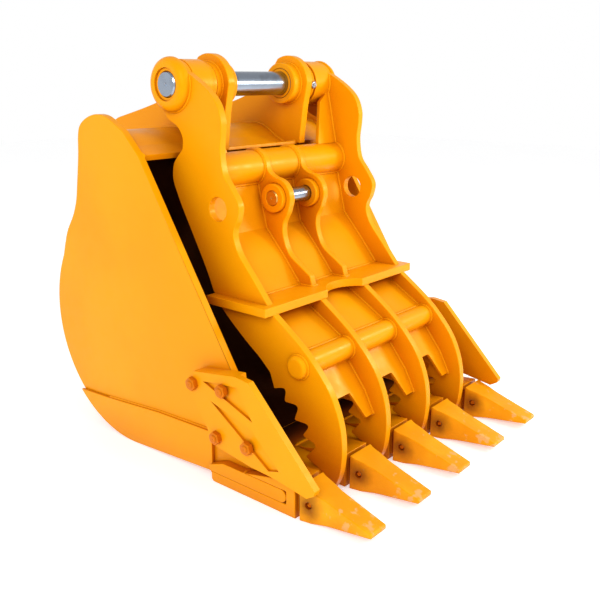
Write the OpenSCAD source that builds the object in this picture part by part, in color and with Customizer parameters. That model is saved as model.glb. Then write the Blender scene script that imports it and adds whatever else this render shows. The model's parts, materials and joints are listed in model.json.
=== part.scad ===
// Excavator bucket with a built-in hydraulic thumb: a welded bucket with ears, a cutting lip with
// five teeth and two side cutters, and a four-tined thumb that swings on the stick pin.
// X runs along the pins, -Y points out of the mouth, +Z is up. The stick pin's centre is the origin.

/* [Bucket] */
// Width over the two side plates
bucket_w = 996; // [980:2:1000]
// Thickness of a side plate
side_t = 25; // [20:1:28]
// Thickness of the wrapper plate
shell_t = 20; // [14:1:22]
// Outer radius of the wrapper's round belly
belly_r = 394; // [390:1:396]
// Thickness of the wear plates under the belly
wear_t = 10; // [10:1:10]
// Thickness of the cutting lip
lip_t = 42; // [36:1:44]

/* [Ears and pins] */
// Radius of the stick pin and of the link pin
pin_r = 40; // [40:1:40]
// Free width between the ears' bosses
stick_gap = 280; // [270:5:290]
// Thickness of an ear
ear_t = 30; // [25:1:30]
// Running clearance round a pin
pin_play = 0.08; // [0.05:0.01:0.1]
// Radius of the thumb cylinder's pin
cyl_pin_r = 25; // [25:1:25]

/* [Teeth] */
// Distance between two teeth
tooth_pitch = 235; // [233:1:236]
// Width of a tooth at its root
tooth_w = 106; // [102:2:110]
// Width of a tooth at its edge
tooth_tip_w = 72; // [66:2:78]

/* [Thumb] */
// Distance between the thumb's outer faces
thumb_w = 715; // [710:5:720]
// Thickness of a thumb plate
thumb_t = 25; // [20:1:26]
// Outer radius of the torque tube
torque_r = 57; // [50:1:60]
// Free width between the clevis bosses
clevis_gap = 112; // [100:2:120]

/* [Hidden] */

paint = "#f5a012";
tooth_paint = "#eda51c";
steel = "#b9bcc0";
bolt_steel = "#8d8f92";

// Half widths along X, from the middle outwards
half_w = bucket_w / 2;
inner_w = half_w - side_t;
boss_x = stick_gap / 2;
ear_x = 178;
ear_end = ear_x + ear_t;
collar_x = 230;
hub_x = 253;
arm_end = thumb_w / 2;
arm_x = arm_end - thumb_t;
hub_end = 388;
pin_end = 385;
clevis_x = 75;
clevis_end = 100;
clevis_boss_end = 117;
tine_x = 105;
tine_end = 130;
cutter_t = 50;
blade_t = 22;
lip_end = 525;

// Places in the side view, as [Y, Z]
link = [450, -210];
belly = [108, -780];
torque = [-90, -268];
cyl_pin = [-190, -362];
tie = [-512, -803];
tie_r = 37;
ground_z = belly.y - belly_r - wear_t;
lip_z = -1130;
lip_nose = -605;
lip_back = -290;
shelf_top = -638;
shelf_t = 27;
tooth_pin = [-681, -1130];
cutter_bolts_at = [[-258, -862], [-384, -853], [-354, -1010], [-482, -1003]];
mouth_top = [10, -209];

// Fits
bush_r = 50;
groove_w = 4;
groove_d = 1;
bore_r = pin_r + pin_play;
cyl_bore_r = cyl_pin_r + pin_play;
access_r = 38;
bolt_r = 12;
keeper = [238, -6];
keeper_r = 8;

function unit(v) = v / norm(v);
function left_of(v) = [-v.y, v.x];
function reverse(list) = [for (i = [len(list) - 1:-1:0]) list[i]];
function arc(c, r, a0, a1, n = 24) =
    [for (i = [0:n]) let (a = a0 + (a1 - a0) * i / n) c + r * [cos(a), sin(a)]];

// A smooth curve through every point of p
function blend(a, b, c, d, t) =
    (2 * b + (c - a) * t + (2 * a - 5 * b + 4 * c - d) * t * t + (3 * b - a - 3 * c + d) * t * t * t) / 2;
function curve(p, n = 5) = concat(
    [for (i = [0:len(p) - 2], k = [0:n - 1])
        blend(p[max(i - 1, 0)], p[i], p[i + 1], p[min(i + 2, len(p) - 1)], k / n)],
    [p[len(p) - 1]]
);

// The path p with its inner corners rounded off, from cuts[0] or cuts[1] before each corner in turn
function rounded(p, cuts, n = 5) = concat(
    [p[0]],
    [for (i = [1:len(p) - 2], k = [0:n])
        let (
            t = k / n,
            a = p[i] + unit(p[i - 1] - p[i]) * cuts[i % 2],
            b = p[i] + unit(p[i + 1] - p[i]) * cuts[i % 2]
        )
        a * (1 - t) * (1 - t) + p[i] * 2 * t * (1 - t) + b * t * t],
    [p[len(p) - 1]]
);

// The path p moved sideways by d, to its left where d is positive
function side_step(p, d) = [for (i = [0:len(p) - 1])
    let (
        before = unit(p[max(i, 1)] - p[max(i, 1) - 1]),
        after = unit(p[min(i + 1, len(p) - 1)] - p[min(i, len(p) - 2)]),
        n = unit(left_of(before) + left_of(after))
    )
    p[i] + n * d / (n * left_of(before))
];

// Outer face of the wrapper: along the top, down the neck, round the belly and to the lip
shell_path = concat(
    [mouth_top],
    curve([[58, -186], [110, -153], [172, -141], [236, -152], [284, -186], [310, -240], [322, -310],
        [342, -390], [376, -447], [415, -510], belly + belly_r * [cos(30), sin(30)]]),
    arc(belly, belly_r, 27, -93, 40),
    [[lip_back, lip_z - lip_t / 2]]
);

// Outline of a side plate: a little proud of the wrapper, and notched over the corner adapter
side_outline = concat(
    [mouth_top, [80, -138]],
    curve([[137, -107], [170, -94], [212, -91], [258, -102], [298, -126], [314, -160], [322, -226],
        [338, -309], [353, -377], [378, -431], [422, -495], belly + (belly_r + 6) * [cos(30), sin(30)]]),
    arc(belly, belly_r + 6, 27, -93, 40),
    [[lip_back, lip_z - lip_t / 2 - 6], [lip_back, lip_z - lip_t / 2 + shell_t],
        [lip_back - 60, lip_z + lip_t / 2], [-434, lip_z + lip_t / 2], [-544, -1082], [-374, -814]]
);

// Outline of an ear, down to the wrapper
ear_outline = concat(
    arc([0, 0], 95, 180, 62),
    curve([[70, 50], [120, 2], [200, -42], [310, -77], link + 95 * [cos(76), sin(76)]]),
    arc(link, 95, 70, -60),
    curve([[455, -340], [415, -400], [385, -470]]),
    [[240, -300], [100, -200], [20, -235], [-60, -212], [-62, -185], [-77, -80]]
);

// Front edge of a thumb plate, from the hub to the tine's end, and its rear edge back up
arm_front = curve([[-60, 40], [-135, -2], [-186, -45], [-208, -95], [-208, -140], [-202, -195],
    [-213, -260], [-245, -303], [-275, -350], [-268, -395], [-253, -425], [-252, -456], [-274, -503],
    [-330, -568], [-375, -622]]);
tine_front = curve([[-412, -665], [-512, -736], [-572, -790], [-628, -858], [-662, -931], [-676, -997],
    [-676, -1060], [-666, -1116], [-644, -1161]]);
serration = rounded([[-600, -1113], [-538, -1088], [-584, -1038], [-525, -1022], [-555, -980],
    [-492, -980], [-512, -929], [-453, -931], [-461, -884], [-412, -898]], [21, 9]);
arm_back = curve([[-395, -850], [-351, -811], [-293, -769], [-215, -705], [-165, -650], [-123, -562],
    [-27, -388], [-4, -342], [14, -300], [16, -270], [8, -240], [-14, -215]]);
arm_notch = curve([[-34, -195], [-36, -160], [-13, -126], [31, -103], [60, -60]]);

// Front faces of the panels between the thumb's upright plates, and the notch in the lower ones
panel_upper = [[-115, -313], [-151, -466], [-226, -549], [-304, shelf_top - 5]];
panel_middle = [[-311, -660], [-507, -777]];
panel_lower = [[-519, -836], [-590, -925], [-628, -997]];
panel_t = 12;
panel_notch = [[-120, -918], [30, -918], [66, -1010], [-120, -1010]];
outer_bay_x = (tine_end + arm_x) / 2;

// A flat shape drawn as [Y, Z], made solid from x0 to x1
module along_x(x0, x1) {
    translate([x0, 0, 0]) rotate([90, 0, 90]) linear_extrude(x1 - x0) children();
}

// A round bar along X, about a [Y, Z] centre
module bar(x0, x1, r, at = [0, 0]) {
    translate([x0, at.x, at.y]) rotate([0, 90, 0]) cylinder(h = x1 - x0, r = r, $fn = 72);
}

// A ring along X, with its bore
module ring(x0, x1, r, bore, at = [0, 0]) {
    difference() {
        bar(x0, x1, r, at);
        bar(x0 - 1, x1 + 1, bore, at);
    }
}

// A plate of thickness t on the right-hand side of a bent path
module bent_plate(path, t) {
    polygon(concat(path, reverse(side_step(path, -t))));
}

// Puts a piece that is drawn on the right side on the left (-1) or right (1) side
module on_side(s) {
    if (s > 0) children();
    else mirror([1, 0, 0]) children();
}

module side_plate(s) {
    color(paint) on_side(s) difference() {
        along_x(inner_w, half_w) polygon(side_outline);
        for (at = cutter_bolts_at) bar(inner_w - 1, half_w + 1, bolt_r, at);
    }
}

module wrapper_shell() {
    color(paint) along_x(-inner_w, inner_w) bent_plate(shell_path, shell_t);
}

module lip_plate() {
    nose = lip_nose + lip_t / 2;
    color(paint) along_x(-lip_end, lip_end) {
        polygon([
            [nose, lip_z - lip_t / 2], [lip_back, lip_z - lip_t / 2],
            [lip_back, lip_z - lip_t / 2 + shell_t], [lip_back - 60, lip_z + lip_t / 2],
            [nose, lip_z + lip_t / 2]
        ]);
        translate([nose, lip_z]) circle(r = lip_t / 2, $fn = 48);
    }
}

module heel_wear_plate() {
    color(paint) along_x(-inner_w, inner_w) polygon(concat(
        arc(belly, belly_r + wear_t, -42, -93, 17),
        arc(belly, belly_r, -93, -42, 17)
    ));
}

module side_wear_plate(s) {
    outline = concat(
        arc(belly, belly_r + wear_t, -45, -93, 24),
        [[lip_back + 2, lip_z - lip_t / 2 - wear_t], [lip_back + 2, -1028], [-32, -1036], [240, -1058]]
    );
    color(paint) on_side(s) along_x(half_w, half_w + 12) polygon(outline);
}

module ear(s) {
    color(paint) on_side(s) difference() {
        along_x(ear_x, ear_end) difference() {
            polygon(ear_outline);
            polygon(concat(shell_path, [[-600, -209]]));
        }
        bar(ear_x - 1, ear_end + 1, bush_r);
        bar(ear_x - 1, ear_end + 1, bush_r, link);
    }
}

// The flat that carries the shell's top edge forward between the ears
module ear_tie_plate() {
    color(paint) along_x(-ear_x, ear_x) bent_plate([[-45, -200], mouth_top], 12);
}

module stick_boss(s) {
    color(paint) on_side(s) ring(boss_x, ear_x, 70, bush_r);
}

module stick_bushings() {
    color(steel) for (s = [-1, 1]) on_side(s) ring(boss_x, ear_end, bush_r, bore_r);
}

module outer_boss_left() {
    color(paint) on_side(-1) ring(ear_end, collar_x, 70, bore_r);
}

// The right outer boss takes the keeper bolt
module outer_boss_right() {
    color(paint) difference() {
        ring(ear_end, hub_x - 1, 70, bore_r);
        keeper_shank(keeper_r + pin_play, 90);
    }
}

module thrust_ring_left() {
    color(paint) on_side(-1) ring(collar_x, hub_x - 1, 70, bore_r);
}

module link_boss(s) {
    color(paint) on_side(s) ring(boss_x, ear_x, 70, bush_r, link);
}

module link_bushings() {
    color(steel) for (s = [-1, 1]) on_side(s) ring(boss_x, ear_end, bush_r, bore_r, link);
}

// A tooth's solid: its side view and its plan view, each tapered, cut to where they meet
module tapered(side_view, plan_view) {
    intersection() {
        along_x(-tooth_w, tooth_w) polygon(side_view);
        translate([0, 0, ground_z - 10]) linear_extrude(200) polygon(plan_view);
    }
}

module nose(grow) {
    tapered(
        [[-610, -1092 + grow], [-640, -1092 + grow], [-780 - grow, -1128 + grow],
            [-780 - grow, -1150 - grow], [-640, -1168 - grow], [-610, -1168 - grow]],
        [[-38 - grow, -610], [38 + grow, -610], [38 + grow, -640], [22 + grow, -780 - grow],
            [-22 - grow, -780 - grow], [-38 - grow, -640]]
    );
}

module tooth_adapter(i) {
    color(paint) translate([(i - 3) * tooth_pitch, 0, 0]) difference() {
        union() {
            nose(0);
            difference() {
                tapered(
                    [[-639, -1075], [-560, -1082], [-440, lip_z + lip_t / 2], [-440, -1140],
                        [-298, lip_z - lip_t / 2], [-298, ground_z + 8], [-306, ground_z],
                        [-639, ground_z]],
                    [[-55, -639], [55, -639], [55, -298], [-55, -298]]
                );
                along_x(-tooth_w, tooth_w) {
                    translate([-560, lip_z - lip_t / 2]) square([400, lip_t]);
                    translate([lip_nose, lip_z - lip_t / 2]) square([60, lip_t]);
                }
            }
        }
        bar(-tooth_w, tooth_w, 10, tooth_pin);
    }
}

module tooth_tip(i) {
    root = tooth_w / 2;
    edge = tooth_tip_w / 2;
    color(tooth_paint) translate([(i - 3) * tooth_pitch, 0, 0]) difference() {
        tapered(
            [[-642, -1073], [-700, -1086], [-790, -1114], [-888, -1143], [-888, -1157],
                [-760, -1173], [-690, ground_z], [-642, ground_z]],
            [[-root, -642], [root, -642], [root - 3, -668], [edge + 3, -735], [edge, -888], [-edge, -888],
                [-edge - 3, -735], [3 - root, -668]]
        );
        nose(1);
        bar(-tooth_w, tooth_w, 10, tooth_pin);
    }
}

module tooth_pins() {
    color(bolt_steel) for (i = [-2:2]) translate([i * tooth_pitch, 0, 0])
        bar(-48, 48, 9.9, tooth_pin);
}

// A cast side cutter: a thick pad on the side plate, two shallow pockets, and a blade in front
module side_cutter(s) {
    pad = [[-258, -824], [-380, -806], [-430, -800], [-450, -935], [-563, -1066], [-489, -1062],
        [-362, -1043], [-328, -1035], [-312, -992], [-267, -932], [-232, -886], [-240, -840]];
    blade = [[-380, -806], [-434, -798], [-486, -804], [-730, -1056], [-726, -1070], [-700, -1086],
        [-590, -1069], [-440, -1052]];
    pockets = [[[-300, -846], [-350, -838], [-440, -830], [-500, -920]],
        [[-330, -900], [-500, -948], [-600, -1040], [-560, -1052]]];
    color(paint) on_side(s) difference() {
        union() {
            along_x(half_w, half_w + cutter_t) polygon(pad);
            along_x(half_w + cutter_t - blade_t, half_w + cutter_t) polygon(blade);
        }
        for (outline = pockets)
            along_x(half_w + cutter_t - 8, half_w + cutter_t + 1) polygon(outline);
        for (at = cutter_bolts_at) bar(half_w - 1, half_w + cutter_t + 1, bolt_r, at);
    }
}

// Each bolt has its round head inside the bucket and its nut outside
module cutter_bolts() {
    color(bolt_steel) for (s = [-1, 1], at = cutter_bolts_at) on_side(s) {
        bar(inner_w - 12, inner_w, 21, at);
        bar(inner_w - 12, half_w + cutter_t + 20, bolt_r, at);
    }
}

module cutter_nuts() {
    color(bolt_steel) for (s = [-1, 1], at = cutter_bolts_at) on_side(s) difference() {
        translate([half_w + cutter_t, at.x, at.y]) rotate([0, 90, 0]) cylinder(h = 16, r = 21, $fn = 6);
        bar(half_w, half_w + cutter_t + 20, bolt_r, at);
    }
}

module arm_shape() {
    polygon(concat(arm_front, tine_front, serration, arm_back, arm_notch));
    circle(r = 74, $fn = 72);
}

module thumb_plate(s) {
    color(paint) on_side(s) difference() {
        along_x(arm_x, arm_end) arm_shape();
        bar(arm_x - 1, arm_end + 1, bush_r);
        bar(arm_x - 1, arm_end + 1, access_r, cyl_pin + [5, -7]);
        bar(arm_x - 1, arm_end + 1, tie_r, tie);
    }
}

module hub_tube(s) {
    color(paint) on_side(s) ring(hub_x, arm_x, 76, bush_r);
}

// A boss with a well rounded rim, outside the thumb plate
module hub_boss(s, r, end, round) {
    color(paint) on_side(s) rotate([0, 90, 0]) rotate_extrude($fn = 72) polygon(concat(
        [[bush_r, arm_end], [r, arm_end]],
        arc([r - round, end - round], round, 0, 90, 5),
        [[bush_r, end]]
    ));
}

module hub_bushings() {
    color(steel) for (s = [-1, 1]) on_side(s) ring(hub_x, 380, bush_r, bore_r);
}

module torque_tube() {
    color(paint) ring(-arm_x, arm_x, torque_r, torque_r - 12, torque);
}

module clevis_plate(s) {
    color(paint) on_side(s) difference() {
        along_x(clevis_x, clevis_end) {
            translate(torque) circle(r = torque_r + 7, $fn = 72);
            translate(cyl_pin) circle(r = 66, $fn = 72);
            polygon(concat(
                curve([torque + 64 * [cos(160), sin(160)], [-160, -276], [-184, -292],
                    cyl_pin + 66 * [cos(118), sin(118)]]),
                curve([cyl_pin + 66 * [cos(205), sin(205)], [-243, -410], [-225, -445], [-226, -490],
                    [-252, -545], [-310, -585], [-340, -605]]),
                [[-350, shelf_top], [-285, shelf_top], [-210, -549], [-135, -466], [-100, -320]]
            ));
        }
        bar(clevis_x - 1, clevis_end + 1, torque_r, torque);
        bar(clevis_x - 1, clevis_end + 1, 48, cyl_pin);
    }
}

module clevis_boss(s) {
    color(paint) on_side(s) ring(clevis_gap / 2, clevis_boss_end, 48, cyl_bore_r, cyl_pin);
}

module shelf_plate() {
    color(paint) difference() {
        translate([-395, -412, shelf_top - shelf_t]) cube([790, 250, shelf_t]);
        translate([0, -477, shelf_top - shelf_t - 1]) cylinder(h = shelf_t + 2, r = 115, $fn = 96);
        for (s = [-1, 1]) on_side(s) along_x(arm_x, arm_end) arm_shape();
    }
}

module inner_tine(s) {
    color(paint) on_side(s) difference() {
        along_x(tine_x, tine_end) difference() {
            arm_shape();
            translate([-500, shelf_top - shelf_t]) square([600, 900]);
        }
        bar(tine_x - 1, tine_end + 1, tie_r, tie);
    }
}

// The same bent plate in each of the three bays between four upright plates
module in_bays(inner_edge, outer_edge) {
    along_x(-inner_edge, inner_edge) children();
    for (s = [-1, 1]) on_side(s) along_x(outer_edge, arm_x) children();
}

module upper_panels() {
    color(paint) in_bays(clevis_x, clevis_end) difference() {
        bent_plate(reverse(panel_upper), panel_t);
        translate(torque) circle(r = torque_r, $fn = 72);
        translate([-500, shelf_top - 50]) square([500, 50]);
    }
}

module middle_panels() {
    color(paint) in_bays(tine_x, tine_end) difference() {
        bent_plate(reverse(panel_middle), panel_t);
        translate(tie) circle(r = tie_r, $fn = 72);
        translate([-500, shelf_top - shelf_t]) square([500, 50]);
    }
}

module lower_panels() {
    color(paint) difference() {
        in_bays(tine_x, tine_end) difference() {
            bent_plate(reverse(panel_lower), panel_t);
            translate(tie) circle(r = tie_r, $fn = 72);
        }
        for (x = [-outer_bay_x, 0, outer_bay_x]) translate([x, 0, 0]) rotate([90, 0, 0])
            linear_extrude(700) polygon(panel_notch);
    }
}

module tie_tube() {
    color(paint) bar(-arm_end - 20, arm_end + 20, tie_r, tie);
}

// Tapered gussets inside the arms, from the hub tubes down to the torque tube
module arm_stiffeners() {
    color(paint) for (s = [-1, 1]) on_side(s) difference() {
        along_x(arm_x - 103, arm_x) difference() {
            polygon([[-62, 0], [-112, -240], [-98, -243], [-48, -3]]);
            circle(r = 76, $fn = 72);
            translate(torque) circle(r = torque_r, $fn = 72);
        }
        rotate([90, 0, 0]) linear_extrude(200) polygon([[arm_x - 110, 10], [arm_x - 20, 10],
            [arm_x - 20, -40], [arm_x - 56, -66], [arm_x - 103, -215], [arm_x - 110, -237]]);
    }
}

// A round shank square to the stick pin, which stops short of it
module keeper_shank(r, end) {
    translate([keeper.x, -44, keeper.y]) rotate([90, 0, 0]) cylinder(h = end - 44, r = r, $fn = 32);
}

module keeper_bolts() {
    color(bolt_steel) {
        keeper_shank(keeper_r, 84);
        translate([keeper.x, -70, keeper.y]) rotate([90, 0, 0]) cylinder(h = 10, r = 13, $fn = 6);
    }
}

// A pin with a seal groove just inside each boss, so that the free stretch between them ends there
module grooved_pin(end, free, r, at = [0, 0]) {
    color(steel) {
        bar(-end, end, r - groove_d, at);
        bar(-free / 2, free / 2, r, at);
        for (s = [-1, 1]) on_side(s) bar(free / 2 + groove_w, end, r, at);
    }
}

module stick_pin() {
    grooved_pin(pin_end, stick_gap - 2, pin_r);
}

module thumb_cylinder_pin() {
    grooved_pin(clevis_boss_end, clevis_gap - 2, cyl_pin_r, cyl_pin);
}

side_plate(-1);  // side_plate_left
side_plate(1);  // side_plate_right
wrapper_shell();
lip_plate();
heel_wear_plate();
side_wear_plate(-1);  // side_wear_plate_left
side_wear_plate(1);  // side_wear_plate_right
ear(-1);  // ear_left
ear(1);  // ear_right
ear_tie_plate();
stick_boss(-1);  // stick_boss_left
stick_boss(1);  // stick_boss_right
stick_bushings();
outer_boss_left();
outer_boss_right();
thrust_ring_left();
link_boss(-1);  // link_boss_left
link_boss(1);  // link_boss_right
link_bushings();
tooth_adapter(1);  // tooth_adapter_1
tooth_adapter(2);  // tooth_adapter_2
tooth_adapter(3);  // tooth_adapter_3
tooth_adapter(4);  // tooth_adapter_4
tooth_adapter(5);  // tooth_adapter_5
tooth_tip(1);  // tooth_tip_1
tooth_tip(2);  // tooth_tip_2
tooth_tip(3);  // tooth_tip_3
tooth_tip(4);  // tooth_tip_4
tooth_tip(5);  // tooth_tip_5
tooth_pins();
side_cutter(-1);  // side_cutter_left
side_cutter(1);  // side_cutter_right
cutter_bolts();
cutter_nuts();
thumb_plate(-1);  // thumb_plate_left
thumb_plate(1);  // thumb_plate_right
hub_tube(-1);  // hub_tube_left
hub_tube(1);  // hub_tube_right
hub_boss(-1, 83, hub_end, 24);  // hub_boss_left
hub_boss(1, 74, 380, 12);  // hub_boss_right
hub_bushings();
torque_tube();
clevis_plate(-1);  // clevis_plate_left
clevis_plate(1);  // clevis_plate_right
clevis_boss(-1);  // clevis_boss_left
clevis_boss(1);  // clevis_boss_right
shelf_plate();
inner_tine(-1);  // inner_tine_left
inner_tine(1);  // inner_tine_right
upper_panels();
middle_panels();
lower_panels();
tie_tube();
arm_stiffeners();
keeper_bolts();
stick_pin();
thumb_cylinder_pin();
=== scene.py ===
import json
import math

import bmesh
import bpy
from mathutils import Matrix, Vector
from mathutils.bvhtree import BVHTree


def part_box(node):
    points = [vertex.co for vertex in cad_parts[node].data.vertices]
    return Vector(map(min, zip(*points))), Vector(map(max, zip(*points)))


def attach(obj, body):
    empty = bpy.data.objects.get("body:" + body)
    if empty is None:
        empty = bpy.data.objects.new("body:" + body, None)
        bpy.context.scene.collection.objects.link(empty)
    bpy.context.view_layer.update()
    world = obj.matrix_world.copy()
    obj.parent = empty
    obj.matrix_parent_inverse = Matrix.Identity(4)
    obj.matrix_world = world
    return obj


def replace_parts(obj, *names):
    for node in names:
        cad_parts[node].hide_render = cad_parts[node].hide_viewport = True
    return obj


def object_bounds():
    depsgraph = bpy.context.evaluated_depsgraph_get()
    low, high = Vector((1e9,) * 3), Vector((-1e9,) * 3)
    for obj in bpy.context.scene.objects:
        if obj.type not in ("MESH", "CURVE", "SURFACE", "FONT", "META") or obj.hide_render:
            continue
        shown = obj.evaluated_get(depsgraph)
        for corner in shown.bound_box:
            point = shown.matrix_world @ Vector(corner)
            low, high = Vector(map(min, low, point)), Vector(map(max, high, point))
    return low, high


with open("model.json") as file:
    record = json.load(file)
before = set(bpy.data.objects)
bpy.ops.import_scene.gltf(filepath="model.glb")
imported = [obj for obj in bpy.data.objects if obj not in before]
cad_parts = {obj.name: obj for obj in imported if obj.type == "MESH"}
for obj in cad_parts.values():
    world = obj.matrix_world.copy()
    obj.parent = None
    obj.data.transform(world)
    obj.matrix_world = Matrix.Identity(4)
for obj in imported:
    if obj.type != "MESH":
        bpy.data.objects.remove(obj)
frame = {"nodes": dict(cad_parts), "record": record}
cad_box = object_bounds()
cad = frame["nodes"]
body_of = {n: b for b, members in frame["record"]["behaviour"]["bodies"].items() for n in members}
slot_of = {s["node"]: s["material_slot"] for s in frame["record"]["subparts"]}

MM = 0.001
SIDES = ("left", "right")

# The mouth's plane, which runs down the side plates' front edges, and the depths over which painted shade
# turns the paint brown, then near black, for the shade deep inside the bucket; only the inside, up to
# INSIDE_X either way, is shaded
MOUTH_POINT = Vector((0, 0.012, -0.211))
MOUTH_IN = Vector((0, 0.842, -0.539))
CAVITY_SHADE_START = 60 * MM
CAVITY_SHADE_END = 250 * MM
INSIDE_X = 0.49
INSIDE_FADE = 8 * MM
# Where a side plate's inner face stands proud of the wrapper and keeps plain paint, without painted shade: a
# rim all round, above and behind CREST, and down to NECK_END
PLATE_RIM = 14 * MM
CREST = Vector((0, 0.300, -0.165))
NECK_END = Vector((0, 0, -0.400))


def centre_of(low, high):
    return (low + high) / 2


# ---------------------------------------------------------------- materials

def linear(red, green, blue):
    """A screen colour, 0 to 255, as the linear colour that a shader takes."""
    def channel(c):
        c /= 255
        return c / 12.92 if c < 0.04045 else ((c + 0.055) / 1.055) ** 2.4
    return (channel(red), channel(green), channel(blue), 1)


RANGE_SOCKETS = ("From Min", "From Max", "To Min", "To Max")


class Shader:
    """A Principled material and short calls that add nodes to it."""

    def __init__(self, name):
        self.material = bpy.data.materials.new(name)
        self.material.use_nodes = True
        self.tree = self.material.node_tree
        self.bsdf = self.tree.nodes["Principled BSDF"]
        self.place = self.tree.nodes.new("ShaderNodeTexCoord").outputs["Object"]

    def set(self, **values):
        for name, value in values.items():
            self.bsdf.inputs[name.replace("_", " ")].default_value = value
        return self

    def link(self, output, name):
        self.tree.links.new(output, self.bsdf.inputs[name.replace("_", " ")])
        return self

    def noise(self, scale, detail=3.0, stretch=None):
        node = self.tree.nodes.new("ShaderNodeTexNoise")
        node.inputs["Scale"].default_value = scale
        node.inputs["Detail"].default_value = detail
        place = self.place
        if stretch:
            mapping = self.tree.nodes.new("ShaderNodeMapping")
            mapping.inputs["Scale"].default_value = stretch
            self.tree.links.new(place, mapping.inputs["Vector"])
            place = mapping.outputs["Vector"]
        self.tree.links.new(place, node.inputs["Vector"])
        return node.outputs["Fac"]

    def spread(self, value, low, high, to_low=0.0, to_high=1.0):
        """value from low..high, smoothly to to_low..to_high."""
        node = self.tree.nodes.new("ShaderNodeMapRange")
        node.interpolation_type = "SMOOTHSTEP"
        self.tree.links.new(value, node.inputs["Value"])
        for name, number in zip(RANGE_SOCKETS, (low, high, to_low, to_high)):
            node.inputs[name].default_value = number
        return node.outputs["Result"]

    def math(self, operation, *values):
        node = self.tree.nodes.new("ShaderNodeMath")
        node.operation = operation
        for socket, value in zip(node.inputs, values):
            if isinstance(value, (int, float)):
                socket.default_value = value
            else:
                self.tree.links.new(value, socket)
        return node.outputs[0]

    def mix(self, amount, a, b):
        node = self.tree.nodes.new("ShaderNodeMix")
        node.data_type = "RGBA"
        self.tree.links.new(amount, node.inputs["Factor"])
        for socket, value in zip((node.inputs[6], node.inputs[7]), (a, b)):
            if isinstance(value, tuple):
                socket.default_value = value
            else:
                self.tree.links.new(value, socket)
        return node.outputs[2]

    def shaded(self, colour, shade, reach=0.22, most=0.75):
        """colour, turning to shade in corners and gaps narrower than reach."""
        node = self.tree.nodes.new("ShaderNodeAmbientOcclusion")
        node.samples = 8
        node.inputs["Distance"].default_value = reach
        return self.mix(self.spread(node.outputs["AO"], 0.15, 0.85, most, 0.0), colour, shade)

    def along(self, direction, start):
        """How far a point lies from start along direction, in metres."""
        node = self.tree.nodes.new("ShaderNodeVectorMath")
        node.operation = "DOT_PRODUCT"
        self.tree.links.new(self.place, node.inputs[0])
        node.inputs[1].default_value = direction
        return self.math("SUBTRACT", node.outputs["Value"], direction.dot(start))

    def bump(self, height, strength, distance):
        node = self.tree.nodes.new("ShaderNodeBump")
        node.inputs["Strength"].default_value = strength
        node.inputs["Distance"].default_value = distance
        self.tree.links.new(height, node.inputs["Height"])
        self.tree.links.new(node.outputs["Normal"], self.bsdf.inputs["Normal"])
        return self


YELLOW = linear(242, 158, 4)
DEEP_YELLOW = linear(238, 151, 3)
SHEEN_TINT = (1, 0.55, 0.08, 1)
# The next two colours are painted shade: near black and brown, standing in for the shade deep inside the
# bucket
CAVITY_SHADE = linear(56, 20, 7)
CAVITY_SHADE_EDGE = linear(150, 66, 6)
SHADE = linear(168, 68, 2)
# Painted shade: dark brown round the teeth's pins, by their recesses and the gaps behind the tips
PIN_SHADE = linear(104, 40, 6)

# The stretch along the teeth over which their paint wears through
TOOTH_START = Vector((0, -0.66, 0))
TOOTH_LENGTH = 0.26

# Painted shade around a tooth's pin: full up to the nearer distance below from the pin's axis, gone at the
# farther
PIN_SHADE_NEAR = 22 * MM
PIN_SHADE_FAR = 72 * MM


def paint(name, cavity_shaded=False, light=YELLOW, deep=DEEP_YELLOW, shine=0.34):
    """Glossy enamel: broad colour drift, painted shade in corners and gaps, faint orange peel, and, when
    asked, painted shade that darkens the bucket's inside with depth.
    """
    s = Shader(name)
    drift = s.spread(s.noise(2.3, 4), 0.35, 0.65)
    colour = s.shaded(s.mix(drift, deep, light), SHADE)
    film = s.spread(s.noise(26, 5), 0.3, 0.7, shine - 0.06, shine + 0.07)
    # Painted shade: the bucket's inside turns brown, then near black, the deeper it lies past the mouth
    if cavity_shaded:
        depth = s.along(MOUTH_IN, MOUTH_POINT)
        ragged = s.math("ADD", depth, s.math("MULTIPLY", s.noise(11, 5), 60 * MM))
        reach = s.spread(ragged, CAVITY_SHADE_START, CAVITY_SHADE_END)
        across = s.math("ABSOLUTE", s.along(Vector((1, 0, 0)), Vector((0, 0, 0))))
        inside = s.spread(across, INSIDE_X, INSIDE_X + INSIDE_FADE, 1.0, 0.0)
        amount = s.math("MULTIPLY", reach, inside)
        colour = s.mix(s.spread(amount, 0.0, 0.5), colour, CAVITY_SHADE_EDGE)
        colour = s.mix(s.spread(amount, 0.25, 1.0), colour, CAVITY_SHADE)
        film = s.math("ADD", film, s.math("MULTIPLY", amount, 0.4))
    s.link(colour, "Base_Color").link(film, "Roughness")
    s.set(Specular_IOR_Level=0.35, Specular_Tint=SHEEN_TINT)
    return s.bump(s.noise(420, 2), 0.12, 0.0004).material


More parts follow.
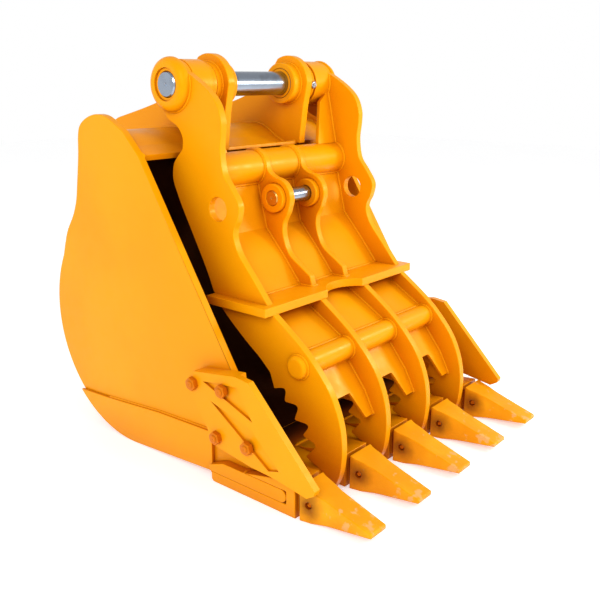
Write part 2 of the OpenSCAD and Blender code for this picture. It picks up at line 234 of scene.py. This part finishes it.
def cast_paint(name, pin_shade_at=None):
    """Paint on rough castings, scuffed through to primer towards the teeth's edges.

    Given a point of the pins' axis, it also gets painted shade round that axis, where the tips' sides darken
    by the pin recess and the gap behind.
    """
    s = Shader(name)
    drift = s.spread(s.noise(6, 5), 0.35, 0.65)
    colour = s.mix(drift, linear(232, 148, 10), linear(246, 168, 20))
    reach = s.spread(s.along(Vector((0, -1, 0)), TOOTH_START), 0, TOOTH_LENGTH, 0.0, 0.2)
    scuff = s.spread(s.math("ADD", s.noise(34, 6), reach), 0.7, 0.78)
    colour = s.shaded(s.mix(scuff, colour, linear(228, 168, 96)), SHADE, 0.12)
    # Painted shade, darkest near the pins' axis and fading outwards
    if pin_shade_at:
        rise = s.along(Vector((0, 0, 1)), pin_shade_at)
        run = s.along(Vector((0, -1, 0)), pin_shade_at)
        squared = s.math("ADD", s.math("MULTIPLY", rise, rise), s.math("MULTIPLY", run, run))
        away = s.math("SQRT", squared)
        ragged = s.math("ADD", away, s.math("MULTIPLY", s.noise(30, 4), 30 * MM))
        colour = s.mix(s.spread(ragged, PIN_SHADE_NEAR, PIN_SHADE_FAR, 0.8, 0.0), colour, PIN_SHADE)
    rough = s.math("ADD", s.math("MULTIPLY", scuff, 0.2), s.spread(s.noise(40, 4), 0.3, 0.7, 0.36, 0.5))
    s.link(colour, "Base_Color").link(rough, "Roughness")
    s.set(Specular_IOR_Level=0.35, Specular_Tint=SHEEN_TINT)
    return s.bump(s.noise(70, 6), 0.35, 0.0022).material


def steel(name, colour, roughness, turned, spots=0.0):
    """Bare metal with fine turning marks along turned, the axis it was turned about."""
    s = Shader(name)
    stretch = tuple(600.0 if axis == turned else 2.0 for axis in "xyz")
    marks = s.noise(1.0, 2, stretch)
    stains = s.spread(s.noise(18, 5), 0.45, 0.75, 0.0, spots)
    s.link(s.mix(stains, colour, linear(96, 92, 92)), "Base_Color")
    s.link(s.spread(marks, 0.3, 0.7, roughness - 0.05, roughness + 0.07), "Roughness")
    s.set(Metallic=1.0)
    return s.bump(marks, 0.08, 0.0003).material


MATERIALS = {
    "paint": paint("paint"),
    # The enamel with painted shade that darkens the bucket's inside with depth
    "cavity_shaded_paint": paint("cavity_shaded_paint", cavity_shaded=True),
    "tooth_paint": cast_paint("tooth_paint"),
    # Cast paint with painted shade round the teeth's pins
    "tooth_side_paint": cast_paint("tooth_side_paint", centre_of(*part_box("tooth_pins"))),
    "painted_bolts": paint(
        "painted_bolts", light=linear(226, 132, 8), deep=linear(204, 108, 6), shine=0.42),
    "pin_steel": steel("pin_steel", linear(158, 168, 182), 0.2, "x", 0.35),
    "bushing_steel": steel("bushing_steel", linear(150, 146, 142), 0.34, "x", 0.6),
    # Near-black paint that is painted shade, for the slits behind the tips and the bores round the pins
    "gap_shade": paint("gap_shade", light=linear(40, 15, 6), deep=linear(26, 9, 4), shine=0.6),
    "worn_paint": steel("worn_paint", linear(214, 168, 84), 0.32, "x", 0.3),
    "bolt_steel": steel("bolt_steel", linear(176, 180, 186), 0.3, "y", 0.5),
}


# ---------------------------------------------------------------- mesh tools

def cleaned(node):
    """A bmesh copy of a CAD node, with its flat faces joined up again."""
    bm = bmesh.new()
    bm.from_mesh(cad[node].data)
    bmesh.ops.remove_doubles(bm, verts=bm.verts, dist=0.01 * MM)
    bmesh.ops.dissolve_limit(bm, angle_limit=math.radians(0.2), verts=bm.verts, edges=bm.edges)
    bm.normal_update()
    return bm


def added(name, bm):
    mesh = bpy.data.meshes.new(name)
    bm.to_mesh(mesh)
    bm.free()
    piece = bpy.data.objects.new(name, mesh)
    bpy.context.scene.collection.objects.link(piece)
    return piece


def baked(piece):
    """Applies the piece's modifiers, so that its mesh is the final one."""
    graph = bpy.context.evaluated_depsgraph_get()
    mesh = bpy.data.meshes.new_from_object(
        piece.evaluated_get(graph), preserve_all_data_layers=True, depsgraph=graph)
    piece.modifiers.clear()
    piece.data = mesh
    return piece


def smooth(piece, sharp=40):
    piece.data.polygons.foreach_set("use_smooth", [True] * len(piece.data.polygons))
    piece.data.set_sharp_from_angle(angle=math.radians(sharp))


def soften(piece, width, segments, clamp=False):
    """Rounds every edge over 28 degrees."""
    bevel = piece.modifiers.new("soft_edges", "BEVEL")
    bevel.limit_method = "ANGLE"
    bevel.angle_limit = math.radians(28)
    bevel.width = width
    bevel.segments = segments
    bevel.use_clamp_overlap = clamp
    bevel.miter_outer = "MITER_ARC"
    baked(piece)
    smooth(piece)
    weighted = piece.modifiers.new("flat_shading", "WEIGHTED_NORMAL")
    weighted.keep_sharp = True
    baked(piece)


def dress(piece, material, body):
    piece.data.materials.clear()
    piece.data.materials.append(MATERIALS[material])
    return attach(piece, body)


def finished(node, width, segments=2, clamp=False):
    """A CAD node with rounded edges, as a piece of its own that stands for it."""
    piece = added(node + "_finished", cleaned(node))
    soften(piece, width, segments, clamp)
    dress(piece, slot_of[node], body_of[node])
    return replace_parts(piece, node)


def recoat(piece, material, chosen):
    """Gives another material to the faces for which chosen(centre, normal) is true."""
    piece.data.materials.append(MATERIALS[material])
    last = len(piece.data.materials) - 1
    for face in piece.data.polygons:
        if chosen(face.center, face.normal):
            face.material_index = last


def shade_inside(plate, inward):
    """Gives painted shade to a side plate's face that looks along inward, except where it is outside the
    wrapper.
    """
    bm = bmesh.new()
    bm.from_mesh(plate.data)
    parts = [f for f in bm.faces if f.normal.x * inward > 0.99]
    bmesh.ops.inset_region(bm, faces=parts, thickness=PLATE_RIM, use_even_offset=False)
    for point, normal in ((CREST, (0, 0, 1)), (CREST, (0, 1, 0)), (NECK_END, (0, 0, 1))):
        edges = dict.fromkeys(e for f in parts for e in f.edges)
        corners = dict.fromkeys(v for f in parts for v in f.verts)
        geometry = [*parts, *edges, *corners]
        cut = bmesh.ops.bisect_plane(bm, geom=geometry, plane_co=point, plane_no=normal)
        parts = [g for g in cut["geom"] if isinstance(g, bmesh.types.BMFace)]
    for face in parts:
        middle = face.calc_center_bounds()
        neck = middle.y > CREST.y and middle.z > NECK_END.z
        if middle.z < CREST.z and not neck:
            face.material_index = 1
    bm.to_mesh(plate.data)
    bm.free()
    plate.data.materials.append(MATERIALS["cavity_shaded_paint"])


# ---------------------------------------------------------------- weld beads

def surface(node):
    bm = bmesh.new()
    bm.from_mesh(cad[node].data)
    tree = BVHTree.FromBMesh(bm)
    bm.free()
    return tree


def seam_lines(node, onto):
    """The sharp edges of node that lie on the surface of another node, as lists of points."""
    bm = cleaned(node)
    tree = surface(onto)
    near = 0.4 * MM

    def touches(point):
        return tree.find_nearest(point, near)[0] is not None

    edges = {}
    for edge in bm.edges:
        sharp = len(edge.link_faces) == 2 and edge.calc_face_angle() > math.radians(35)
        a, b = (v.co for v in edge.verts)
        if sharp and touches(a) and touches(b) and touches((a + b) / 2):
            edges[edge] = True
    lines = []
    while edges:
        edge = next(iter(edges))
        del edges[edge]
        line = [edge.verts[0], edge.verts[1]]
        for _ in range(2):
            while True:
                step = next((e for e in line[-1].link_edges if e in edges), None)
                if step is None:
                    break
                del edges[step]
                line.append(step.other_vert(line[-1]))
            line.reverse()
        lines.append([v.co.copy() for v in line])
    bm.free()
    return lines


def resampled(line, step):
    """Evenly spaced points along a line of points."""
    lengths = [(b - a).length for a, b in zip(line, line[1:])]
    total = sum(lengths)
    count = max(4, round(total / step))
    points = []
    leg = 0
    passed = 0.0
    for i in range(count + 1):
        target = total * i / count
        while leg < len(lengths) - 1 and passed + lengths[leg] < target:
            passed += lengths[leg]
            leg += 1
        t = (target - passed) / max(lengths[leg], 1e-9)
        points.append(line[leg].lerp(line[leg + 1], min(max(t, 0), 1)))
    return points


BEAD_STEP = 3.2 * MM
BEAD_SIDES = 8
RIPPLE = 9.6 * MM


def add_bead(bm, line, radius):
    """A rippled round bead along a line, closed where the line is."""
    closed = (line[0] - line[-1]).length < 0.1 * MM
    points = resampled(line, BEAD_STEP)
    if closed:
        points.pop()
    count = len(points)
    up = Vector((0.31, 0.52, 0.79)).normalized()
    rings = []
    for i, point in enumerate(points):
        before = points[i - 1] if closed or i else point
        after = points[(i + 1) % count] if closed or i < count - 1 else point
        tangent = (after - before).normalized()
        up = (up - tangent * up.dot(tangent)).normalized()
        side = tangent.cross(up)
        ripple = 1 + 0.1 * math.sin(2 * math.pi * i * BEAD_STEP / RIPPLE)
        taper = 1 if closed else min(1, 0.35 + 0.25 * min(i, count - 1 - i))
        ring = []
        for k in range(BEAD_SIDES):
            a = 2 * math.pi * k / BEAD_SIDES
            offset = (up * math.cos(a) + side * math.sin(a)) * radius * ripple * taper
            ring.append(bm.verts.new(point + offset))
        rings.append(ring)
    if closed:
        # the frame may come round turned, so the last ring is joined where it fits best
        first = rings[0]
        shift = min(range(BEAD_SIDES), key=lambda k: (first[k].co - rings[-1][0].co).length)
        rings.append(first[shift:] + first[:shift])
    for a, b in zip(rings, rings[1:]):
        for k in range(BEAD_SIDES):
            n = (k + 1) % BEAD_SIDES
            bm.faces.new((a[k], a[n], b[n], b[k]))
    if not closed:
        bm.faces.new(reversed(rings[0]))
        bm.faces.new(rings[-1])


def welds(name, body, radius, pairs, keep=None):
    """One piece with a bead on every seam between the pairs of nodes."""
    bm = bmesh.new()
    for node, onto in pairs:
        for line in seam_lines(node, onto):
            length = sum((b - a).length for a, b in zip(line, line[1:]))
            middle = line[len(line) // 2]
            if length > 12 * MM and (keep is None or keep(middle)):
                add_bead(bm, line, radius)
    bmesh.ops.recalc_face_normals(bm, faces=bm.faces)
    piece = added(name, bm)
    smooth(piece, 60)
    return dress(piece, "paint", body)


# ---------------------------------------------------------------- turned and hexagonal pieces

def turned(bm, profile, centre, steps=64):
    """Turns a closed profile of (x, radius) about the X axis through centre."""
    rings = []
    for i in range(steps):
        a = 2 * math.pi * i / steps
        ring = [centre + Vector((x, r * math.cos(a), r * math.sin(a))) for x, r in profile]
        rings.append([bm.verts.new(place) for place in ring])
    for i in range(steps):
        a, b = rings[i], rings[(i + 1) % steps]
        for k in range(len(profile)):
            n = (k + 1) % len(profile)
            bm.faces.new((a[k], a[n], b[n], b[k]))


def hexagon(bm, centre, axis, height, across, hole):
    """A chamfered hexagonal nut with its seat at centre."""
    axis = axis.normalized()
    u = axis.orthogonal().normalized()
    v = axis.cross(u)
    apothem = across / 2
    inner = apothem * 0.93
    steps = 48
    rings = []
    for i in range(steps):
        a = 2 * math.pi * i / steps
        out = u * math.cos(a) + v * math.sin(a)
        corner = apothem / math.cos((a + math.pi / 6) % (math.pi / 3) - math.pi / 6)
        top = height - (corner - inner) * math.tan(math.radians(28))
        outline = [(hole, 0), (corner, 0), (corner, top), (inner, height), (hole, height)]
        rings.append([bm.verts.new(centre + out * r + axis * h) for r, h in outline])
    for i in range(steps):
        a, b = rings[i], rings[(i + 1) % steps]
        for k in range(5):
            n = (k + 1) % 5
            bm.faces.new((a[k], a[n], b[n], b[k]))


def piece_from(name, bm, material, body, sharp=30):
    bmesh.ops.recalc_face_normals(bm, faces=bm.faces)
    piece = added(name, bm)
    smooth(piece, sharp)
    return dress(piece, material, body)


def solids(node):
    """The box of each separate solid in a node, as (low corner, high corner)."""
    bm = bmesh.new()
    bm.from_mesh(cad[node].data)
    bmesh.ops.remove_doubles(bm, verts=bm.verts, dist=0.01 * MM)
    left = set(bm.verts)
    boxes = []
    while left:
        grown = {left.pop()}
        edge = set(grown)
        while edge:
            edge = {e.other_vert(v) for v in edge for e in v.link_edges} - grown
            grown |= edge
        left -= grown
        low = Vector(min(v.co[i] for v in grown) for i in range(3))
        high = Vector(max(v.co[i] for v in grown) for i in range(3))
        boxes.append((low, high))
    bm.free()
    return sorted(boxes, key=lambda box: tuple(box[0]))


# ---------------------------------------------------------------- the bucket

# The centre of the wrapper's round belly
BELLY = Vector((0, 0.108, -0.780))
LIP_MIDDLE = sum(corner.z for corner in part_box("lip_plate")) / 2


def faces_belly(centre, normal):
    """Whether a face of the wrapper looks into the bucket."""
    inward = normal.y * (BELLY.y - centre.y) + normal.z * (BELLY.z - centre.z) > 0
    return inward and abs(normal.x) < 0.5


def bucket_shell():
    shell = finished("wrapper_shell", 1.5 * MM)
    # The wrapper's inner faces get painted shade that deepens into the bucket
    recoat(shell, "cavity_shaded_paint", faces_belly)
    for side in SIDES:
        plate = finished("side_plate_" + side, 2 * MM, 3)
        sign = -1 if side == "left" else 1
        # The plate's inner face gets painted shade where it lies inside the wrapper
        shade_inside(plate, -sign)
        finished("side_wear_plate_" + side, 2 * MM)
    finished("heel_wear_plate", 2 * MM)
    lip = finished("lip_plate", 2.5 * MM)
    # The lip's top gets the same painted shade of the bucket's inside
    recoat(lip, "cavity_shaded_paint", lambda c, n: n.z > 0)
    finished("ear_tie_plate", 2 * MM)
    for side in SIDES:
        finished("ear_" + side, 3 * MM, 3)
        for boss in ("stick_boss_", "link_boss_"):
            finished(boss + side, 4 * MM, 3)
        finished("outer_boss_" + side, 2 * MM, 3)
    finished("thrust_ring_left", 4 * MM, 3)
    recoat(finished("stick_bushings", 1 * MM), "paint", lambda c, n: abs(n.x) > 0.6)
    finished("link_bushings", 1 * MM)


# Beads lie above FLOOR_CLEAR, and the adapters' beads within LIP_REACH of the lip's underside
FLOOR_CLEAR = -1.175
LIP_REACH = 50 * MM


def bucket_welds():
    pairs = [("ear_tie_plate", "ear_" + s) for s in SIDES]
    for s in SIDES:
        pairs += [
            ("ear_" + s, "wrapper_shell"), ("stick_boss_" + s, "ear_" + s), ("link_boss_" + s, "ear_" + s),
            ("outer_boss_" + s, "ear_" + s), ("wrapper_shell", "side_plate_" + s),
            ("side_wear_plate_" + s, "side_plate_" + s), ("heel_wear_plate", "side_plate_" + s),
        ]
    pairs += [("heel_wear_plate", "wrapper_shell"), ("ear_tie_plate", "wrapper_shell")]
    welds("bucket_welds", "bucket", 5 * MM, pairs, keep=lambda p: p.z > FLOOR_CLEAR)
    lip_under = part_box("lip_plate")[0].z
    adapters = [(f"tooth_adapter_{i}", "lip_plate") for i in range(1, 6)]
    welds("adapter_welds", "bucket", 6 * MM, adapters,
          keep=lambda p: abs(p.z - lip_under) < LIP_REACH)


# The rear edges of the tips, TIP_REAR deep, stand TIP_GAP off the adapters. The spring pins lie
# PIN_RECESS inside the tips, with PIN_PLAY round them in holes a little under BORE_RADIUS.
TIP_REAR = 8 * MM
TIP_GAP = 11 * MM
PIN_RECESS = 4 * MM
PIN_PLAY = 2.6 * MM
BORE_RADIUS = 12 * MM


def teeth():
    pins = solids("tooth_pins")
    bore = centre_of(*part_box("tooth_pins"))
    for i in range(1, 6):
        adapter = finished(f"tooth_adapter_{i}", 3 * MM, 3)
        # The adapters' tops get the same painted shade of the bucket's inside
        recoat(adapter, "cavity_shaded_paint", lambda c, n: n.z > 0.1 and c.z > LIP_MIDDLE)
        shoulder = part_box(f"tooth_tip_{i}")[1].y
        # Near-black painted shade where the adapters meet the tips' rear edges
        recoat(adapter, "gap_shade", lambda c, n: c.y < shoulder + 2 * MM)
        tip = finished(f"tooth_tip_{i}", 3.5 * MM, 3)
        back = max(v.co.y for v in tip.data.vertices)
        for v in tip.data.vertices:
            if v.co.y > back - TIP_REAR:
                v.co.y -= TIP_GAP
        # The tips' sides get painted shade round the pins
        recoat(tip, "tooth_side_paint", lambda c, n: abs(n.x) > 0.5)
        # Near-black painted shade inside the tips' pin bores
        recoat(tip, "gap_shade", lambda c, n: abs(n.x) < 0.5 and (c - bore).yz.length < BORE_RADIUS)
    bm = bmesh.new()
    for low, high in pins:
        half = (high.x - low.x) / 2 - PIN_RECESS
        r = (high.z - low.z) / 2 - PIN_PLAY
        profile = [(-half + 4 * MM, 1 * MM), (-half, 4 * MM), (-half, r - 3 * MM), (-half + 3 * MM, r),
                   (half - 3 * MM, r), (half, r - 3 * MM), (half, 4 * MM), (half - 4 * MM, 1 * MM)]
        turned(bm, profile, centre_of(low, high), 32)
    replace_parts(piece_from("tooth_spring_pins", bm, "painted_bolts", "bucket"), "tooth_pins")


THREAD_LENGTH = 22 * MM
THREAD_PITCH = 3 * MM
THREAD_DEPTH = 1.3 * MM
THREAD_TURNS = 6


def side_cutters():
    for side in SIDES:
        finished("side_cutter_" + side, 2 * MM, clamp=True)
    nuts = bmesh.new()
    bolts = bmesh.new()
    for low, high in solids("cutter_nuts"):
        sign = 1 if low.x > 0 else -1
        middle = centre_of(low, high)
        seat = Vector((low.x if sign > 0 else high.x, middle.y, middle.z))
        # a nut's box is wider from corner to corner than from flat to flat
        tall = high.z - low.z > high.y - low.y
        across = (high.z - low.z) * (math.cos(math.pi / 6) if tall else 1)
        hexagon(nuts, seat, Vector((sign, 0, 0)), high.x - low.x, across, 11.9 * MM)
    for low, high in solids("cutter_bolts"):
        middle = centre_of(low, high)
        sign = 1 if low.x > 0 else -1
        inner = (low.x if sign > 0 else high.x) * sign
        outer = (high.x if sign > 0 else low.x) * sign
        head_r = (high.z - low.z) / 2
        r = 12 * MM
        profile = [(inner, 1 * MM), (inner + 2 * MM, head_r - 5 * MM), (inner + 7 * MM, head_r),
                   (inner + 12 * MM, head_r), (inner + 12 * MM, r)]
        for turn in range(THREAD_TURNS):
            x = outer - THREAD_LENGTH + turn * THREAD_PITCH
            profile += [(x, r), (x + THREAD_PITCH / 2, r - THREAD_DEPTH)]
        profile += [(outer - 3 * MM, r), (outer, r - 3 * MM), (outer, 1 * MM)]
        turned(bolts, [(x * sign, radius) for x, radius in profile],
               Vector((0, middle.y, middle.z)), 40)
    for name, bm, node in (("cutter_hex_nuts", nuts, "cutter_nuts"), ("cutter_studs", bolts, "cutter_bolts")):
        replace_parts(piece_from(name, bm, "painted_bolts", "bucket"), node)


def keeper():
    """The keeper bolt's hexagonal head, with a drilled end, on its shank."""
    low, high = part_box("keeper_bolts")
    middle = centre_of(low, high)
    seat = Vector((middle.x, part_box("outer_boss_right")[0].y, middle.z))
    out = Vector((0, -1, 0))
    bm = bmesh.new()
    hexagon(bm, seat, out, 10 * MM, 22 * MM, 7.9 * MM)
    turn = Matrix.Translation(Vector((middle.x, 0, middle.z))) @ Matrix.Rotation(math.radians(90), 4, "Z")
    shank = bmesh.new()
    start, end, r = -high.y, -low.y, 8 * MM
    profile = [(start, 1 * MM), (start, r), (end - 2 * MM, r), (end, r - 2 * MM),
               (end, 5 * MM), (end - 5 * MM, 1 * MM)]
    turned(shank, [(-x, radius) for x, radius in profile], Vector((0, 0, 0)), 32)
    shank.transform(turn)
    mesh = bpy.data.meshes.new("shank")
    shank.to_mesh(mesh)
    shank.free()
    bm.from_mesh(mesh)
    bpy.data.meshes.remove(mesh)
    bolt = piece_from("keeper_bolt_finished", bm, "bolt_steel", "bucket")
    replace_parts(bolt, "keeper_bolts")


# ---------------------------------------------------------------- the thumb

def thumb():
    for side in SIDES:
        finished("thumb_plate_" + side, 2 * MM, 3)
        finished("hub_tube_" + side, 2 * MM)
        finished("hub_boss_" + side, 2 * MM, 3)
        finished("clevis_plate_" + side, 3 * MM, 3)
        finished("clevis_boss_" + side, 4 * MM, 3)
        finished("inner_tine_" + side, 2 * MM, 3)
    for node in (
            "torque_tube", "shelf_plate", "upper_panels", "middle_panels", "lower_panels", "arm_stiffeners"):
        finished(node, 1.5 * MM)
    recoat(finished("hub_bushings", 1.5 * MM), "paint", lambda c, n: abs(n.x) > 0.6)
    finished("tie_tube", 13 * MM, 6)


def thumb_welds():
    pairs = []
    for s in SIDES:
        plate, tine, clevis = "thumb_plate_" + s, "inner_tine_" + s, "clevis_plate_" + s
        pairs += [
            ("upper_panels", plate), ("upper_panels", clevis),
            ("middle_panels", plate), ("middle_panels", tine),
            ("lower_panels", plate), ("lower_panels", tine), (plate, "tie_tube"), (tine, "tie_tube"),
            (clevis, "torque_tube"), ("torque_tube", plate), (clevis, "shelf_plate"),
            ("hub_tube_" + s, plate), ("hub_boss_" + s, plate), ("arm_stiffeners", plate),
            (tine, "shelf_plate"), ("clevis_boss_" + s, clevis),
        ]
    pairs += [
        ("upper_panels", "torque_tube"), ("upper_panels", "shelf_plate"), ("middle_panels", "tie_tube"),
        ("lower_panels", "tie_tube"), ("middle_panels", "shelf_plate"),
    ]
    welds("thumb_welds", "thumb", 5 * MM, pairs)


def pin(node, name, chamfer, drill, painted_end=False):
    """A turned pin with chamfered ends, each with a centre hole."""
    low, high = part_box(node)
    middle = centre_of(low, high)
    half = (high.x - low.x) / 2
    r = (high.z - low.z) / 2
    profile = [(-half + 6 * MM, 0.5 * MM), (-half, drill), (-half, r - chamfer), (-half + chamfer, r),
               (half - chamfer, r), (half, r - chamfer), (half, drill), (half - 6 * MM, 0.5 * MM)]
    bm = bmesh.new()
    turned(bm, profile, middle, 96)
    piece = piece_from(name, bm, "pin_steel", body_of[node])
    if painted_end:
        piece.data.materials.append(MATERIALS["worn_paint"])
        for face in piece.data.polygons:
            if face.center.x < chamfer + 1 * MM - half:
                face.material_index = 1
    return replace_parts(piece, node)


# Where the grease nipple sits: behind the front of the clevis boss and below it
NIPPLE_BACK = 11 * MM
NIPPLE_DROP = 34 * MM


def grease_nipple():
    """A small fitting on the front edge of the right clevis plate."""
    low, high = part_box("clevis_plate_right")
    boss_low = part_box("clevis_boss_right")[0]
    seat = Vector((centre_of(low, high).x, boss_low.y + NIPPLE_BACK, boss_low.z - NIPPLE_DROP))
    profile = [(0, 0.5 * MM), (0, 5 * MM), (5 * MM, 5 * MM), (6 * MM, 3 * MM), (9 * MM, 3 * MM),
               (10 * MM, 4.2 * MM), (13 * MM, 3.4 * MM), (14 * MM, 0.5 * MM)]
    bm = bmesh.new()
    turned(bm, profile, Vector((0, 0, 0)), 24)
    turn = Vector((1, 0, 0)).rotation_difference(Vector((0, -1, 0)))
    bm.transform(Matrix.Translation(seat) @ turn.to_matrix().to_4x4())
    piece_from("grease_nipple", bm, "bolt_steel", "thumb")


bucket_shell()
teeth()
side_cutters()
keeper()
thumb()
pin("stick_pin", "stick_pin_turned", 4 * MM, 5 * MM)
pin("thumb_cylinder_pin", "thumb_pin_turned", 3 * MM, 4 * MM, painted_end=True)
bucket_welds()
thumb_welds()


# ---------------------------------------------------------------- floor, light and camera

def floor():
    bm = bmesh.new()
    size = 12
    corners = [(-size, -size), (size, -size), (size, size), (-size, size)]
    bm.faces.new([bm.verts.new((x, y, cad_box[0][2])) for x, y in corners])
    piece = added("floor", bm)
    s = Shader("floor_paint")
    s.set(Roughness=0.85, Specular_IOR_Level=0.15)
    s.set(Emission_Color=(1, 1, 1, 1), Emission_Strength=0.4)
    s.link(s.mix(s.noise(1.5, 2), linear(250, 250, 250), linear(246, 246, 247)), "Base_Color")
    piece.data.materials.append(s.material)


def softbox(name, place, aim, size, power):
    light = bpy.data.lights.new(name, "AREA")
    light.shape = "SQUARE"
    light.size = size
    light.energy = power
    lamp = bpy.data.objects.new(name, light)
    lamp.location = place
    lamp.rotation_euler = (Vector(aim) - Vector(place)).to_track_quat("-Z", "Y").to_euler()
    bpy.context.scene.collection.objects.link(lamp)


# The sky is white up to the direction height HORIZON, and fades to DIM at OVERHEAD
HORIZON = 0.14
OVERHEAD = 0.6
DIM = 0.55


def lights():
    middle = (0, -0.2, -0.6)
    softbox("key_light", (-3.8, -2.0, 1.9), middle, 1.8, 98)
    softbox("front_light", (0.6, -4.4, 2.2), middle, 1.4, 50)
    softbox("right_card", (1.55, -1.85, 0.28), (-0.2, -0.57, -0.9), 0.5, 22)
    world = bpy.data.worlds.new("studio")
    world.use_nodes = True
    tree = world.node_tree
    height = tree.nodes.new("ShaderNodeSeparateXYZ")
    tree.links.new(tree.nodes.new("ShaderNodeTexCoord").outputs["Generated"], height.inputs[0])
    fade = tree.nodes.new("ShaderNodeMapRange")
    fade.interpolation_type = "SMOOTHSTEP"
    tree.links.new(height.outputs["Z"], fade.inputs["Value"])
    for name, number in zip(RANGE_SOCKETS, (HORIZON, OVERHEAD, 1.0, DIM)):
        fade.inputs[name].default_value = number
    tree.nodes["Background"].inputs["Color"].default_value = (1, 1, 1, 1)
    tree.links.new(fade.outputs["Result"], tree.nodes["Background"].inputs["Strength"])
    bpy.context.scene.world = world


def camera():
    """A long lens from the front left, level with the stick pin."""
    lens = bpy.data.cameras.new("camera")
    lens.lens = 46.92
    lens.sensor_width = 36
    eye = bpy.data.objects.new("camera", lens)
    right = Vector((0.6463, -0.7631, 0))
    forward = Vector((0.7337, 0.6213, -0.2753))
    up = right.cross(forward)
    eye.matrix_world = Matrix.Translation((-2.0124, -1.9179, 0.0246)) @ Matrix(
        (right, up, -forward)).transposed().to_4x4()
    bpy.context.scene.collection.objects.link(eye)
    bpy.context.scene.camera = eye


floor()
lights()
camera()
bpy.context.scene.view_settings.view_transform = "Standard"
